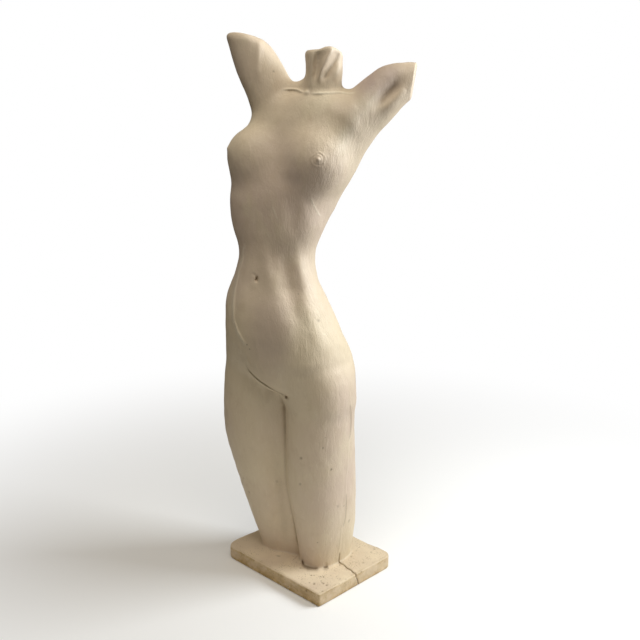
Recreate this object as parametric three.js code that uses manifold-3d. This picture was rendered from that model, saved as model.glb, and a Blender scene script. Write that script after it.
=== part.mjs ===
// Standing female torso, broken at the neck and cut at both upper arms, cast in one piece with its plinth.
// Millimetres. +Z up, front towards -Y, her left side towards +X, origin under the middle of the plinth.
import * as THREE from "three";
import { mergeVertices } from "three/addons/utils/BufferGeometryUtils.js";
import Module from "manifold-3d";

const wasm = await Module();
wasm.setup();

// ---- Plinth
const PLINTH_WIDTH = 323;
const PLINTH_DEPTH = 252;
const PLINTH_HEIGHT = 32;
const PLINTH_NEAR_CORNER = 5;
const PLINTH_SIDE_CORNER = 26;
const PLINTH_BACK_CORNER = 24;
const PLINTH_CORNER_STEPS = 5;

// ---- Sections. Each row is
// [height, x, y, half width, front depth, back depth, turn in degrees, squareness].
const TRUNK = [
  [462, 4, -30, 34, 56, 60, 10, 2.0],
  [480, -10, -32, 60, 76, 80, 10, 2.0],
  [510, -34, -36, 92, 92, 94, 11, 2.1],
  [547, -28, -38, 120, 98, 95, 12, 2.2],
  [605, -34, -45, 123, 96, 90, 13, 2.3],
  [664, -49, -50, 119, 91, 82, 14, 2.3],
  [720, -52, -49, 97, 79, 71, 15, 2.2],
  [778, -48, -46, 89, 70, 66, 16, 2.2],
  [830, -48, -41, 107, 78, 74, 17, 2.3],
  [888, -47, -33, 117, 86, 85, 17, 2.3],
  [930, -36, -23, 126, 86, 92, 17, 2.3],
  [974, -28, -12, 132, 80, 94, 17, 2.3],
  [1030, -12, 2, 126, 68, 88, 17, 2.2],
  [1075, 2, 13, 106, 58, 74, 17, 2.2],
  [1105, 9, 20, 76, 48, 58, 17, 2.1],
  [1124, 14, 24, 45, 34, 42, 17, 2.0],
];
const NECK = [
  [1050, 9, 16, 43, 34, 50, 20, 2.0],
  [1110, 19, 24, 39, 34, 44, 20, 2.0],
  [1145, 24, 26, 39, 36, 38, 20, 2.1],
  [1235, 26, 26, 42, 37, 38, 20, 2.1],
];
const RIGHT_LEG = [
  [4, -67, -6, 47, 58, 60, 0, 2.3],
  [45, -71, -8, 51, 63, 62, 0, 2.3],
  [121, -85, -20, 59, 67, 70, 2, 2.3],
  [226, -101, -36, 72, 74, 80, 5, 2.2],
  [325, -111, -46, 85, 82, 86, 8, 2.2],
  [400, -109, -47, 89, 82, 92, 10, 2.2],
  [440, -106, -46, 91, 83, 95, 10, 2.2],
  [500, -102, -45, 88, 83, 94, 11, 2.2],
  [560, -94, -46, 81, 81, 88, 12, 2.2],
  [620, -82, -50, 67, 74, 74, 12, 2.1],
  [670, -72, -52, 48, 56, 56, 13, 2.1],
];
const LEFT_LEG = [
  [4, 47, 10, 45, 66, 66, 0, 2.5],
  [45, 49, 10, 49, 68, 66, 0, 2.5],
  [121, 49, 9, 61, 76, 72, 2, 2.4],
  [226, 46, 0, 74, 84, 80, 5, 2.3],
  [325, 49, -8, 74, 80, 84, 8, 2.2],
  [400, 51, -13, 73, 76, 87, 10, 2.2],
  [440, 55, -16, 76, 74, 90, 10, 2.2],
  [500, 51, -21, 76, 75, 88, 11, 2.2],
  [560, 31, -28, 73, 80, 80, 12, 2.2],
  [620, 10, -38, 66, 77, 71, 12, 2.1],
  [670, -9, -46, 50, 56, 56, 13, 2.1],
];
const BETWEEN_LEGS = [
  [4, -14, 2, 30, 44, 48, 8, 2.0],
  [60, -14, -2, 30, 48, 50, 8, 2.0],
  [440, -30, -30, 34, 52, 66, 8, 2.0],
];

// ---- Arms. Rows run along the arm and the depths are the lower and upper halves.
const RIGHT_ARM_ROOT = [-90, -6, 1085];
const RIGHT_ARM_TIP = [-148, -37, 1241];
const RIGHT_ARM = [
  [-30, 0, 0, 48, 43, 38, 0, 2.1],
  [30, 0, 0, 48, 48, 39, 0, 2.2],
  [90, 0, 0, 45, 53, 43, 0, 2.3],
  [200, 0, 0, 40, 42, 40, 0, 2.4],
];
const LEFT_ARM_ROOT = [94, 59, 1082];
const LEFT_ARM_TIP = [175, 145, 1142];
const LEFT_ARM = [
  [-30, 0, 0, 51, 49, 26, 0, 2.1],
  [30, 0, 0, 46, 53, 43, 0, 2.2],
  [80, 0, 0, 43, 40, 53, 0, 2.3],
  [130, 0, 0, 39, 32, 41, 0, 2.3],
  [190, 0, 0, 38, 28, 23, 0, 2.3],
];

// ---- Flat cuts: a point on the cut and the way its face looks.
const RIGHT_ARM_CUT = { point: [-166, -47, 1237], facing: [0.14, 0.09, 0.985] };
const LEFT_ARM_CUT = { point: [156, 170, 1140], facing: [0.82, 0.555, -0.14] };
const NECK_BREAK = { point: [27, 26, 1201], facing: [0.03, -0.02, 1] };
const NECK_CUTTER_RADIUS = 62;
const NECK_CUTTER_SIDES = 24;

// ---- Rounded forms, placed in the turned frame of the trunk: height, sideways, forwards (minus) or back.
const BREAST = { height: 978, sideways: 76, depth: -38, radii: [62, 57, 62], turnOut: 22, tilt: 6 };
const BUTTOCK = { height: 505, sideways: 66, depth: 50, radii: [72, 66, 76] };
const BELLY = { height: 600, sideways: -8, depth: -34, radii: [86, 70, 92] };
const MOUND = { height: 524, sideways: 22, depth: -42, radii: [60, 60, 62] };
const FLANK = { from: [735, 58, -14], to: [650, 88, -14], radii: [26, 32] };
const LEFT_SIDE = { from: [111, 96, 1094], to: [25, 21, 892], radii: [30, 26] };
const RIGHT_SIDE = { from: [-96, -9, 1120], to: [-88, -33, 900], radii: [32, 30] };
const LEFT_SHOULDER = { from: [34, 36, 1111], to: [84, 62, 1088], radii: [16, 18] };
const RIGHT_SHOULDER = { from: [14, 22, 1131], to: [-52, 8, 1106], radii: [17, 24] };
const FOLD_DEPTH = -100;

// ---- Long soft lines: chains of [height, sideways, depth] in the trunk's frame, width, lift (minus is a groove).
const SPINE = {
  points: [[1090, 0, 64], [980, 0, 92], [860, 0, 80], [760, 0, 66], [660, 0, 80], [600, 0, 92]],
  width: 16,
  lift: -9,
};
const LEFT_FLANK_VALLEY = {
  points: [[798, 50, -57], [761, 55, -54], [723, 66, -56], [690, 78, -60], [640, 92, -72]],
  width: 18,
  lift: -5,
};
const LEFT_ARM_FOLD = {
  points: [[1000, 127, -46], [1043, 117, -44], [1079, 124, -35], [1107, 136, -21], [1128, 150, -3]],
  width: 22,
  lift: 6,
};
const LEFT_ARMPIT = {
  points: [[1148, 180, 21], [1124, 164, 15], [1100, 152, 2], [1074, 143, -8]],
  width: 15,
  lift: -11,
};

// ---- How softly neighbouring forms run together.
const SOFT_TRUNK_END = 40;
const SOFT_LIMB_END = 30;
const SOFT_NECK = 22;
const SOFT_ARM = 38;
const SOFT_SIDE = 42;
const SOFT_BELLY = 38;
const SOFT_BREAST = 34;
const SOFT_BUTTOCK = 30;
const SOFT_FLANK = 26;
const SOFT_SHOULDER = 16;
const SOFT_BETWEEN = 10;
const SOFT_THIGH = 50;
const CRISP_FOLD = 12;
const FOLD_REACH = 90;

// ---- Facets
const CELL = 17;
const MARGIN = 22;
const REGION = { low: [-197, -165, 4], high: [230, 190, 1262] };
const SETTLE_STEPS = 3;
const LONGEST_MOVE = 0.45 * CELL;
const SLOPE_STEP = 0.5;
const LEAST_STEEPNESS = 0.2;
const CUTTER_SIZE = 260;

// ---------------------------------------------------------------- numbers and vectors
const dot = (a, b) => a[0] * b[0] + a[1] * b[1] + a[2] * b[2];
const minus = (a, b) => [a[0] - b[0], a[1] - b[1], a[2] - b[2]];
const plusScaled = (a, b, scale) => [a[0] + b[0] * scale, a[1] + b[1] * scale, a[2] + b[2] * scale];
const cross = (a, b) => [a[1] * b[2] - a[2] * b[1], a[2] * b[0] - a[0] * b[2], a[0] * b[1] - a[1] * b[0]];
const unit = (a) => a.map((value) => value / Math.hypot(...a));
const clamp = (value, low, high) => Math.min(Math.max(value, low), high);

function turned(x, y, degrees) {
  const angle = THREE.MathUtils.degToRad(degrees);
  const c = Math.cos(angle);
  const s = Math.sin(angle);
  return [x * c + y * s, y * c - x * s];
}

// Joins two distances with a soft fillet.
function join(a, b, soft) {
  const overlap = Math.max(soft - Math.abs(a - b), 0) / soft;
  return Math.min(a, b) - (overlap * overlap * soft) / 4;
}

const trim = (a, b, soft) => -join(-a, -b, soft);

// ---------------------------------------------------------------- forms: each gives a signed distance
// Sections run through their rows on a smooth curve.
function sectionCurve(rows) {
  const slopes = rows.map((row, i) => {
    const before = rows[Math.max(i - 1, 0)];
    const after = rows[Math.min(i + 1, rows.length - 1)];
    return row.map((value, column) => (after[column] - before[column]) / (after[0] - before[0]));
  });
  return (height) => {
    const z = clamp(height, rows[0][0], rows[rows.length - 1][0]);
    let i = 0;
    while (i < rows.length - 2 && z > rows[i + 1][0]) i += 1;
    const span = rows[i + 1][0] - rows[i][0];
    const t = (z - rows[i][0]) / span;
    const startWeight = (2 * t - 3) * t * t + 1;
    const startSlope = (t - 2) * t * t * span + t * span;
    const endSlope = (t - 1) * t * t * span;
    return rows[i].map(
      (value, column) =>
        startWeight * value +
        startSlope * slopes[i][column] +
        (1 - startWeight) * rows[i + 1][column] +
        endSlope * slopes[i + 1][column],
    );
  };
}

function loft(rows, endSoftness) {
  const curve = sectionCurve(rows);
  const first = rows[0][0];
  const last = rows[rows.length - 1][0];
  return (p) => {
    const [, cx, cy, half, front, back, turn, square] = curve(p[2]);
    const [x, y] = turned(p[0] - cx, p[1] - cy, turn);
    const radius = Math.hypot(x, y) + 1e-4;
    const depth = y < 0 ? front : back;
    const share = ((Math.abs(x) / half) ** square + (Math.abs(y) / depth) ** square) ** (1 / square);
    return trim(radius - radius / share, Math.max(first - p[2], p[2] - last), endSoftness);
  };
}

function limb(root, tip, rows) {
  const along = unit(minus(tip, root));
  const level = unit(cross(along, [0, 0, 1]));
  const upward = cross(level, along);
  const form = loft(rows, SOFT_LIMB_END);
  return (p) => {
    const q = minus(p, root);
    return form([dot(q, level), dot(q, upward), dot(q, along)]);
  };
}

function rod(from, to, [startRadius, endRadius]) {
  const span = minus(to, from);
  return (p) => {
    const q = minus(p, from);
    const t = clamp(dot(q, span) / dot(span, span), 0, 1);
    return Math.hypot(...plusScaled(q, span, -t)) - startRadius - (endRadius - startRadius) * t;
  };
}

function ellipsoid(centre, radii, turn, tilt = 0) {
  return (p) => {
    const q = minus(p, centre);
    const [x, ahead] = turned(q[0], q[1], turn);
    const [y, z] = turned(ahead, q[2], tilt);
    const scaled = [x / radii[0], y / radii[1], z / radii[2]];
    const near = Math.hypot(...scaled);
    const steep = Math.hypot(scaled[0] / radii[0], scaled[1] / radii[1], scaled[2] / radii[2]);
    return (near * (near - 1)) / Math.max(steep, 1e-9);
  };
}

// ---------------------------------------------------------------- placing forms on the trunk
const trunkCurve = sectionCurve(TRUNK);
const trunkTurn = (height) => trunkCurve(height)[6];

function onTrunk([height, sideways, depth]) {
  const [, cx, cy, , , , turn] = trunkCurve(height);
  const [x, y] = turned(sideways, depth, -turn);
  return [cx + x, cy + y, height];
}

// A bell-shaped lift along a chain of points.
function softLine({ points, width, lift }) {
  const chain = points.map(onTrunk);
  return (p) => {
    let nearest = Infinity;
    for (let i = 0; i + 1 < chain.length; i += 1) {
      nearest = Math.min(nearest, rod(chain[i], chain[i + 1], [0, 0])(p));
    }
    return lift * Math.exp(-((nearest / width) ** 2));
  };
}

function breast(side) {
  const centre = onTrunk([BREAST.height, BREAST.sideways * side, BREAST.depth]);
  return ellipsoid(centre, BREAST.radii, trunkTurn(BREAST.height) + BREAST.turnOut * side, BREAST.tilt);
}

function roundedForm({ height, sideways, depth, radii }, side = 1) {
  return ellipsoid(onTrunk([height, sideways * side, depth]), radii, trunkTurn(height));
}

// ---------------------------------------------------------------- the figure
const trunk = loft(TRUNK, SOFT_TRUNK_END);
const rightLeg = loft(RIGHT_LEG, SOFT_LIMB_END);
const leftLeg = loft(LEFT_LEG, SOFT_LIMB_END);
const betweenLegs = loft(BETWEEN_LEGS, SOFT_BETWEEN);
const foldCentre = onTrunk([MOUND.height, MOUND.sideways, FOLD_DEPTH]);

const upperForms = [
  [loft(NECK, SOFT_BETWEEN), SOFT_NECK],
  [limb(RIGHT_ARM_ROOT, RIGHT_ARM_TIP, RIGHT_ARM), SOFT_ARM],
  [limb(LEFT_ARM_ROOT, LEFT_ARM_TIP, LEFT_ARM), SOFT_ARM],
  [rod(RIGHT_SHOULDER.from, RIGHT_SHOULDER.to, RIGHT_SHOULDER.radii), SOFT_SHOULDER],
  [rod(LEFT_SHOULDER.from, LEFT_SHOULDER.to, LEFT_SHOULDER.radii), SOFT_SHOULDER],
  [breast(-1), SOFT_BREAST],
  [breast(1), SOFT_BREAST],
  [rod(LEFT_SIDE.from, LEFT_SIDE.to, LEFT_SIDE.radii), SOFT_SIDE],
  [rod(RIGHT_SIDE.from, RIGHT_SIDE.to, RIGHT_SIDE.radii), SOFT_SIDE],
  [roundedForm(BELLY), SOFT_BELLY],
  [roundedForm(MOUND), SOFT_BELLY],
  [rod(onTrunk(FLANK.from), onTrunk(FLANK.to), FLANK.radii), SOFT_FLANK],
];
const buttocks = [roundedForm(BUTTOCK, -1), roundedForm(BUTTOCK, 1)];
const softLines = [SPINE, LEFT_FLANK_VALLEY, LEFT_ARM_FOLD, LEFT_ARMPIT].map(softLine);

function figure(p) {
  let distance = trunk(p);
  for (const [form, soft] of upperForms) distance = join(distance, form(p), soft);
  const legs = join(join(rightLeg(p), leftLeg(p), SOFT_BETWEEN), betweenLegs(p), SOFT_BETWEEN);
  const nearFold = Math.exp(-((Math.hypot(...minus(p, foldCentre)) / FOLD_REACH) ** 2));
  distance = join(distance, legs, SOFT_THIGH + (CRISP_FOLD - SOFT_THIGH) * nearFold);
  for (const buttock of buttocks) distance = join(distance, buttock(p), SOFT_BUTTOCK);
  for (const line of softLines) distance -= line(p);
  return distance;
}

// ---------------------------------------------------------------- from distances to facets
function slope(p) {
  return [0, 1, 2].map((axis) => {
    const ahead = [...p];
    const behind = [...p];
    ahead[axis] += SLOPE_STEP;
    behind[axis] -= SLOPE_STEP;
    return (figure(ahead) - figure(behind)) / (2 * SLOPE_STEP);
  });
}

function settled(point) {
  let p = point;
  for (let step = 0; step < SETTLE_STEPS; step += 1) {
    const g = slope(p);
    p = plusScaled(p, g, -figure(p) / Math.max(dot(g, g), LEAST_STEEPNESS));
  }
  const moved = minus(p, point);
  const share = Math.min(1, LONGEST_MOVE / Math.max(Math.hypot(...moved), 1e-6));
  return plusScaled(point, moved, share);
}

// One vertex in every cell the surface crosses, one quad across every crossed grid edge.
function facets() {
  const low = REGION.low.map((value) => value - MARGIN);
  const counts = REGION.high.map((value, axis) => Math.ceil((value + MARGIN - low[axis]) / CELL) + 1);
  const strides = [1, counts[0], counts[0] * counts[1]];
  const at = (ijk) => ijk.map((index, axis) => low[axis] + index * CELL);
  const values = new Float32Array(counts[0] * counts[1] * counts[2]);
  const everyCell = (visit, short) => {
    for (let k = 0; k < counts[2] - short; k += 1) {
      for (let j = 0; j < counts[1] - short; j += 1) {
        for (let i = 0; i < counts[0] - short; i += 1) {
          visit([i, j, k], i + j * strides[1] + k * strides[2]);
        }
      }
    }
  };
  everyCell((ijk, here) => {
    values[here] = figure(at(ijk));
  }, 0);

  const corners = [...Array(8).keys()].map((bits) => [bits & 1, (bits >> 1) & 1, bits >> 2]);
  const edges = corners.flatMap((from) =>
    [0, 1, 2].filter((axis) => from[axis] === 0).map((axis) => [from, axis]),
  );
  const offset = (ijk) => dot(ijk, strides);
  const positions = [];
  const vertexOf = new Map();
  everyCell((ijk, here) => {
    let sum = [0, 0, 0];
    let crossings = 0;
    for (const [from, axis] of edges) {
      const a = values[here + offset(from)];
      const b = values[here + offset(from) + strides[axis]];
      if (a < 0 === b < 0) continue;
      const crossing = [...from];
      crossing[axis] = a / (a - b);
      sum = plusScaled(sum, crossing, 1);
      crossings += 1;
    }
    if (crossings === 0) return;
    vertexOf.set(here, positions.length / 3);
    const inside = at(ijk.map((index, axis) => index + sum[axis] / crossings));
    positions.push(...settled(inside));
  }, 1);

  const triangles = [];
  everyCell((ijk, here) => {
    for (let axis = 0; axis < 3; axis += 1) {
      const side = (axis + 1) % 3;
      const other = (axis + 2) % 3;
      if (ijk[side] === 0 || ijk[other] === 0) continue;
      const starts = values[here] < 0;
      if (starts === values[here + strides[axis]] < 0) continue;
      const ring = [here - strides[side] - strides[other], here - strides[other], here, here - strides[side]];
      const [a, b, c, d] = ring.map((cell) => vertexOf.get(cell));
      if (starts) triangles.push(a, b, c, a, c, d);
      else triangles.push(a, c, b, a, d, c);
    }
  }, 1);
  return { positions, triangles };
}

// ---------------------------------------------------------------- solids
const asSolid = (positions, triangles) =>
  new wasm.Manifold(
    new wasm.Mesh({
      numProp: 3,
      vertProperties: Float32Array.from(positions),
      triVerts: Uint32Array.from(triangles),
    }),
  );

function solidFromGeometry(geometry) {
  const bare = new THREE.BufferGeometry();
  const source = geometry.index ? geometry.toNonIndexed() : geometry;
  bare.setAttribute("position", source.getAttribute("position"));
  const merged = mergeVertices(bare, 1e-4);
  return asSolid(merged.getAttribute("position").array, merged.index.array);
}

// The plinth has a tight corner towards the front left, softer ones at its sides and a rounded back.
function plinthSolid() {
  const right = PLINTH_WIDTH / 2;
  const rear = PLINTH_DEPTH / 2;
  const corners = [
    [right, -rear, PLINTH_NEAR_CORNER, -90],
    [right, rear, PLINTH_BACK_CORNER, 0],
    [-right, rear, PLINTH_BACK_CORNER, 90],
    [-right, -rear, PLINTH_SIDE_CORNER, 180],
  ];
  const outline = [];
  for (const [x, y, radius, start] of corners) {
    const cx = x - Math.sign(x) * radius;
    const cy = y - Math.sign(y) * radius;
    for (let step = 0; step <= PLINTH_CORNER_STEPS; step += 1) {
      const angle = THREE.MathUtils.degToRad(start + (90 * step) / PLINTH_CORNER_STEPS);
      outline.push(new THREE.Vector2(cx + radius * Math.cos(angle), cy + radius * Math.sin(angle)));
    }
  }
  const slab = new THREE.ExtrudeGeometry(new THREE.Shape(outline), {
    depth: PLINTH_HEIGHT,
    bevelEnabled: false,
  });
  return solidFromGeometry(slab);
}

// A block whose one face lies on the cut, reaching away on the side the cut looks to.
function cutter({ point, facing }) {
  const way = unit(facing);
  const block = new THREE.BoxGeometry(CUTTER_SIZE, CUTTER_SIZE, CUTTER_SIZE);
  block.translate(0, 0, CUTTER_SIZE / 2);
  const turn = new THREE.Quaternion().setFromUnitVectors(
    new THREE.Vector3(0, 0, 1),
    new THREE.Vector3(...way),
  );
  block.applyQuaternion(turn);
  block.translate(...point);
  return solidFromGeometry(block);
}

// The neck's cutter is kept narrow so that it leaves the raised arm alone.
function neckCutter() {
  const size = [NECK_CUTTER_RADIUS, NECK_CUTTER_RADIUS, CUTTER_SIZE / 2, NECK_CUTTER_SIDES];
  const block = new THREE.CylinderGeometry(...size);
  block.rotateX(Math.PI / 2);
  block.translate(0, 0, CUTTER_SIZE / 4);
  const turn = new THREE.Quaternion().setFromUnitVectors(
    new THREE.Vector3(0, 0, 1),
    new THREE.Vector3(...unit(NECK_BREAK.facing)),
  );
  block.applyQuaternion(turn);
  block.translate(...NECK_BREAK.point);
  return solidFromGeometry(block);
}

const { positions, triangles } = facets();
const body = asSolid(positions, triangles)
  .subtract(cutter(RIGHT_ARM_CUT))
  .subtract(cutter(LEFT_ARM_CUT))
  .subtract(neckCutter())
  .add(plinthSolid());
const result = body.getMesh();

const geometry = new THREE.BufferGeometry();
geometry.setAttribute("position", new THREE.BufferAttribute(Float32Array.from(result.vertProperties), 3));
geometry.setIndex(new THREE.BufferAttribute(Uint32Array.from(result.triVerts), 1));
geometry.computeVertexNormals();

const plaster = new THREE.MeshStandardMaterial({ color: 0xd8cbb0, roughness: 0.85, metalness: 0 });
const torso = new THREE.Mesh(geometry, plaster);
torso.name = "torso_with_plinth";

const group = new THREE.Group();
group.name = "female_torso";
group.add(torso);
export default group;
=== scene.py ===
"""Female torso sculpture on its plinth: painted plaster, one casting.

The shape is a signed field in millimetres (+Z up, front towards -Y, her left towards +X).
It is turned into a mesh that is finer where the detail is finer, and then into metres.
"""

import math

import bpy
import numpy as np
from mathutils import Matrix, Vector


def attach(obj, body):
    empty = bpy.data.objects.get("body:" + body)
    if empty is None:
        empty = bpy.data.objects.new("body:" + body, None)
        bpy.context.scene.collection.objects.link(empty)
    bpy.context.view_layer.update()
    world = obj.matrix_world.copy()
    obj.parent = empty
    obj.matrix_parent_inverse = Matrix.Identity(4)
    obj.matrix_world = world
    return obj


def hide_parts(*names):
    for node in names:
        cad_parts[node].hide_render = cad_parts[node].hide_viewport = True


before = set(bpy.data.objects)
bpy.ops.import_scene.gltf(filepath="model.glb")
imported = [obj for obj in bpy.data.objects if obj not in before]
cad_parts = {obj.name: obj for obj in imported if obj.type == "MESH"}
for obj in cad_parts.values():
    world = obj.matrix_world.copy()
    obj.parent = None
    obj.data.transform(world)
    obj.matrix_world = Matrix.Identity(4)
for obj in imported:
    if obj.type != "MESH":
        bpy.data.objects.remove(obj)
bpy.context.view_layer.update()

MM = 0.001
F32 = np.float32

# ---------- shape: sections
# Rows of (height, x, y, half width, front depth, back depth, turn in degrees, squareness).
TRUNK = (
    (462, 4, -30, 34, 56, 60, 10, 2),
    (480, -10.5, -32, 59.5, 76, 80, 10, 2),
    (510, -38.8, -36, 90.5, 92, 94, 11, 2.1),
    (547, -28.8, -38, 119.5, 98.2, 95.2, 12, 2.2),
    (605, -34.1, -45, 123, 96.4, 89.6, 13, 2.3),
    (664, -49.1, -50, 118.7, 90.7, 82, 14, 2.3),
    (720, -52.2, -49, 97.2, 79.1, 71.4, 15, 2.2),
    (778, -48.1, -46, 88.9, 69.8, 65.7, 16, 2.2),
    (830, -48, -41, 106.8, 78.4, 73.8, 17, 2.3),
    (888, -46.7, -33, 117.3, 86.2, 84.9, 17, 2.3),
    (930, -35.6, -23, 126.5, 85.6, 91.9, 17, 2.3),
    (974, -28, -12, 132.3, 80.3, 93.9, 17, 2.3),
    (1030, -12.4, 2, 126.3, 67.9, 87.6, 17, 2.2),
    (1075, 1.5, 13, 106.5, 57.8, 73.8, 17, 2.2),
    (1105, 9.3, 20, 76.4, 47.8, 57.9, 17, 2.1),
    (1124, 14.2, 24, 44.9, 34, 42, 17, 2),
)
NECK = (
    (1050, 9.3, 16, 42.6, 34, 50, 20, 2),
    (1110, 19, 24, 39.2, 34, 44, 20, 2),
    (1145, 24.4, 26, 38.7, 36, 38, 20, 2.1),
    (1235, 25.7, 26, 41.6, 37, 38, 20, 2.1),
)
RIGHT_LEG = (
    (-60, -62.3, -4, 43, 54, 58, 0, 2.3),
    (0, -67.3, -6, 47.1, 58.4, 59.9, 0, 2.3),
    (45, -71.1, -8, 50.9, 62.6, 61.9, 0, 2.3),
    (121, -85.4, -20, 58.9, 67.3, 69.9, 2, 2.3),
    (226, -101.2, -36, 71.9, 73.5, 79.9, 5, 2.2),
    (325, -110.6, -46, 84.7, 81.8, 85.9, 8, 2.2),
    (400, -109.2, -47, 89.2, 82.4, 91.9, 10, 2.2),
    (440, -105.6, -46, 90.6, 82.6, 94.9, 10, 2.2),
    (500, -101.6, -45, 87.7, 82.6, 93.9, 11, 2.2),
    (560, -94.1, -46, 81.3, 81.3, 87.9, 12, 2.2),
    (620, -82.1, -50, 67.4, 73.5, 73.9, 12, 2.1),
    (670, -72.3, -52, 47.6, 56, 56, 13, 2.1),
    (705, -70, -52, 26, 28, 28, 14, 2.1),
)
LEFT_LEG = (
    (-60, 45, 10, 42, 63, 66, 0, 2.5),
    (0, 47.5, 10, 45.1, 65.9, 66.1, 0, 2.5),
    (45, 49.1, 10, 48.6, 67.9, 66.4, 0, 2.5),
    (121, 49.4, 9, 61.3, 75.9, 71.8, 2, 2.4),
    (226, 45.7, 0, 73.8, 83.9, 79.8, 5, 2.3),
    (325, 48.6, -8, 73.9, 79.9, 83.6, 8, 2.2),
    (400, 51.1, -13, 73.4, 75.9, 87.3, 10, 2.2),
    (440, 55.4, -16, 76.3, 73.9, 90.4, 10, 2.2),
    (500, 51.2, -21, 76.2, 74.9, 87.6, 11, 2.2),
    (560, 30.8, -28, 73, 79.9, 80.4, 12, 2.2),
    (620, 10, -38, 66.2, 76.9, 71, 12, 2.1),
    (670, -8.6, -46, 49.5, 56, 56, 13, 2.1),
    (705, -20, -50, 26, 28, 28, 14, 2.1),
)
BETWEEN_LEGS = (
    (-60, -14, 2, 26, 38, 40, 8, 2.0),
    (60, -14, -2, 26, 44, 44, 8, 2.0),
    (440, -30, -30, 30, 50, 60, 8, 2.0),
)
# Along each arm from its root; the depths are the lower and the upper half.
# Each cut is a point on a plane, the way the plane faces, and how rounded its edge is.
RIGHT_ARM = (
    (-30, 0, 0, 48.1, 42.6, 37.7, 0, 2.1),
    (30, 0, 0, 47.6, 48, 39, 0, 2.2),
    (90, 0, 0, 45.1, 53, 42.6, 0, 2.3),
    (200, 0, 0, 39.8, 42.4, 39.9, 0, 2.4),
)
LEFT_ARM = (
    (-30, 0, 0, 51.1, 48.7, 26.4, 0, 2.1),
    (30, 0, 0, 46.2, 52.6, 42.7, 0, 2.2),
    (80, 0, 0, 43.3, 39.5, 53.2, 0, 2.3),
    (130, 0, 0, 38.6, 31.5, 40.7, 0, 2.3),
    (190, 0, 0, 37.6, 27.5, 22.9, 0, 2.3),
)
RIGHT_ARM_ROOT = (-90.5, -5.7, 1084.7)
RIGHT_ARM_TIP = (-147.8, -36.9, 1241.3)
RIGHT_ARM_CUTS = (
    ((-165.8, -47.4, 1238), (0.07, 0.05, 0.996), 18),
    ((-125, -13, 1228), (0.40, 0.40, 0.82), 26),
)
LEFT_ARM_ROOT = (93.9, 59.2, 1082.0)
LEFT_ARM_TIP = (175.2, 144.9, 1142.1)
LEFT_ARM_CUTS = (
    ((168, 128, 1181), (0.19, 0.19, 0.963), 14),
    ((156, 169.5, 1140), (0.795, 0.59, -0.14), 3),
)

PLINTH_WIDTH, PLINTH_DEPTH, PLINTH_HEIGHT = 323, 252, 32
PLINTH_CORNERS = {"near": 5, "side": 26, "back": 24}
PLINTH_EDGE = 3.5

# The corners of the space in which the surface is looked for.
LOW = np.array((-217.3, -197.7, -13.1), F32)
HIGH = np.array((262.7, 202.3, 1266.9), F32)


# ---------- shape: forms, each a signed distance
def dots(a, b):
    """The dot product of each pair of rows."""
    return np.einsum("ij,ij->i", a, b)


def lengths(v):
    return np.sqrt(dots(v, v))


def unit(v):
    v = np.asarray(v, F32)
    return v / np.linalg.norm(v)


def section_at(rows, z):
    """The section at a height, on a smooth curve through the rows."""
    rows = np.asarray(rows, F32)
    key, value = rows[:, 0], rows[:, 1:]
    slope = np.empty_like(value)
    slope[1:-1] = (value[2:] - value[:-2]) / (key[2:] - key[:-2])[:, None]
    slope[0] = (value[1] - value[0]) / (key[1] - key[0])
    slope[-1] = (value[-1] - value[-2]) / (key[-1] - key[-2])
    z = np.clip(z, key[0], key[-1])
    i = np.clip(np.searchsorted(key, z, side="right") - 1, 0, len(key) - 2)
    span = (key[i + 1] - key[i])[:, None]
    t = (z - key[i])[:, None] / span
    return (
        ((2 * t - 3) * t * t + 1) * value[i]
        + ((t - 2) * t + 1) * t * span * slope[i]
        + (3 - 2 * t) * t * t * value[i + 1]
        + (t - 1) * t * t * span * slope[i + 1]
    )


def join(a, b, soft):
    """Two distances run together with a soft fillet."""
    overlap = np.maximum(soft - np.abs(a - b), 0) / soft
    return np.minimum(a, b) - overlap * overlap * soft * 0.25


def trim(a, b, soft):
    """The part that two distances share, with a softly rounded edge."""
    return -join(-a, -b, soft)


def loft(p, rows, end):
    """A form through sections at rising heights, with ends rounded by a given amount."""
    section = section_at(rows, p[:, 2])
    turn = np.radians(section[:, 5])
    c, s = np.cos(turn), np.sin(turn)
    dx, dy = p[:, 0] - section[:, 0], p[:, 1] - section[:, 1]
    x, y = dx * c + dy * s, dy * c - dx * s
    depth = np.where(y < 0, section[:, 3], section[:, 4])
    power = section[:, 6]
    radius = np.sqrt(x * x + y * y) + 1e-4
    ratio = ((np.abs(x) / section[:, 2]) ** power + (np.abs(y) / depth) ** power) ** (1 / power)
    inside = radius - radius / np.maximum(ratio, 1e-6)
    return trim(inside, np.maximum(rows[0][0] - p[:, 2], p[:, 2] - rows[-1][0]), end)


def along_limb(p, root, tip):
    """Points in a limb's own frame: origin at its root, Z towards its tip, X level."""
    root = np.asarray(root, F32)
    z = unit(np.asarray(tip, F32) - root)
    x = unit(np.cross(z, (0, 0, 1)))
    y = np.cross(x, z)
    q = p - root
    return np.stack([q @ x, q @ y, q @ z], 1)


def ellipsoid(p, centre, radii, turn=0.0, tilt=0.0):
    """An egg shape, turned about Z and then tilted about its own X, in degrees."""
    q = p - np.asarray(centre, F32)
    c, s = math.cos(math.radians(turn)), math.sin(math.radians(turn))
    x, y, z = q[:, 0] * c + q[:, 1] * s, q[:, 1] * c - q[:, 0] * s, q[:, 2]
    c, s = math.cos(math.radians(tilt)), math.sin(math.radians(tilt))
    q = np.stack([x, y * c + z * s, z * c - y * s], 1)
    r = np.asarray(radii, F32)
    a = lengths(q / r)
    return a * (a - 1) / np.maximum(lengths(q / (r * r)), 1e-9)


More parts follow.
